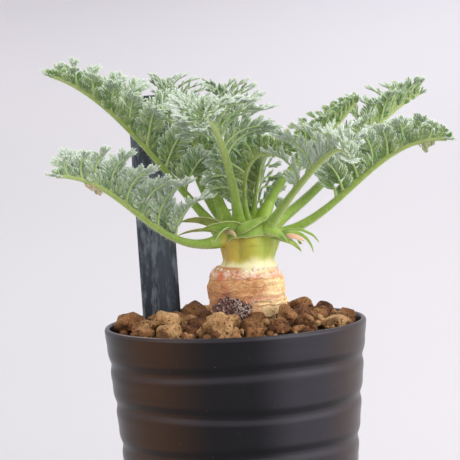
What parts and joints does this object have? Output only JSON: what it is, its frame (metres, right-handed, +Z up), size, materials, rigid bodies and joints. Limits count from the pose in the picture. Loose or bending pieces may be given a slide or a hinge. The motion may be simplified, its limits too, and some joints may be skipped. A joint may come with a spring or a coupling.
{
  "type": "potted pelargonium appendiculatum",
  "caption": "Caudex plant in a tapered dark pot: a rosette of feathery woolly leaves on a swollen stem in clay gravel, with a blank label strip behind it.",
  "frame": {"origin": "centre of the pot's foot, on the surface that it stands on", "axes": "+Z up along the pot's axis, -Y the side that the front leaf leans over, +X the side of the long right-hand leaf"},
  "size_m": [0.1426, 0.1283, 0.1763],
  "materials": {
    "pot_plastic": "satin, fine turned lines",
    "clay_gravel": "matte, porous baked clay",
    "bark": "matte, peeling bark",
    "crown_flesh": "waxy, cream below and green above",
    "label_plastic": "satin",
    "leaf": "woolly grey-green with white hairs"
  },
  "bodies": {
    "root": {"pot": "pot_plastic", "soil": "clay_gravel", "caudex": "bark", "crown": "crown_flesh", "plant_label": "label_plastic", "leaf_left_high": "leaf", "leaf_left_low": "leaf", "leaf_front": "leaf", "leaf_back_left": "leaf", "leaf_back": "leaf", "leaf_front_right": "leaf", "leaf_right": "leaf", "leaf_back_right": "leaf", "leaf_right_high": "leaf", "leaf_left_inner": "leaf", "leaf_young": "leaf", "leaf_centre": "leaf"}
  },
  "joints": []
}
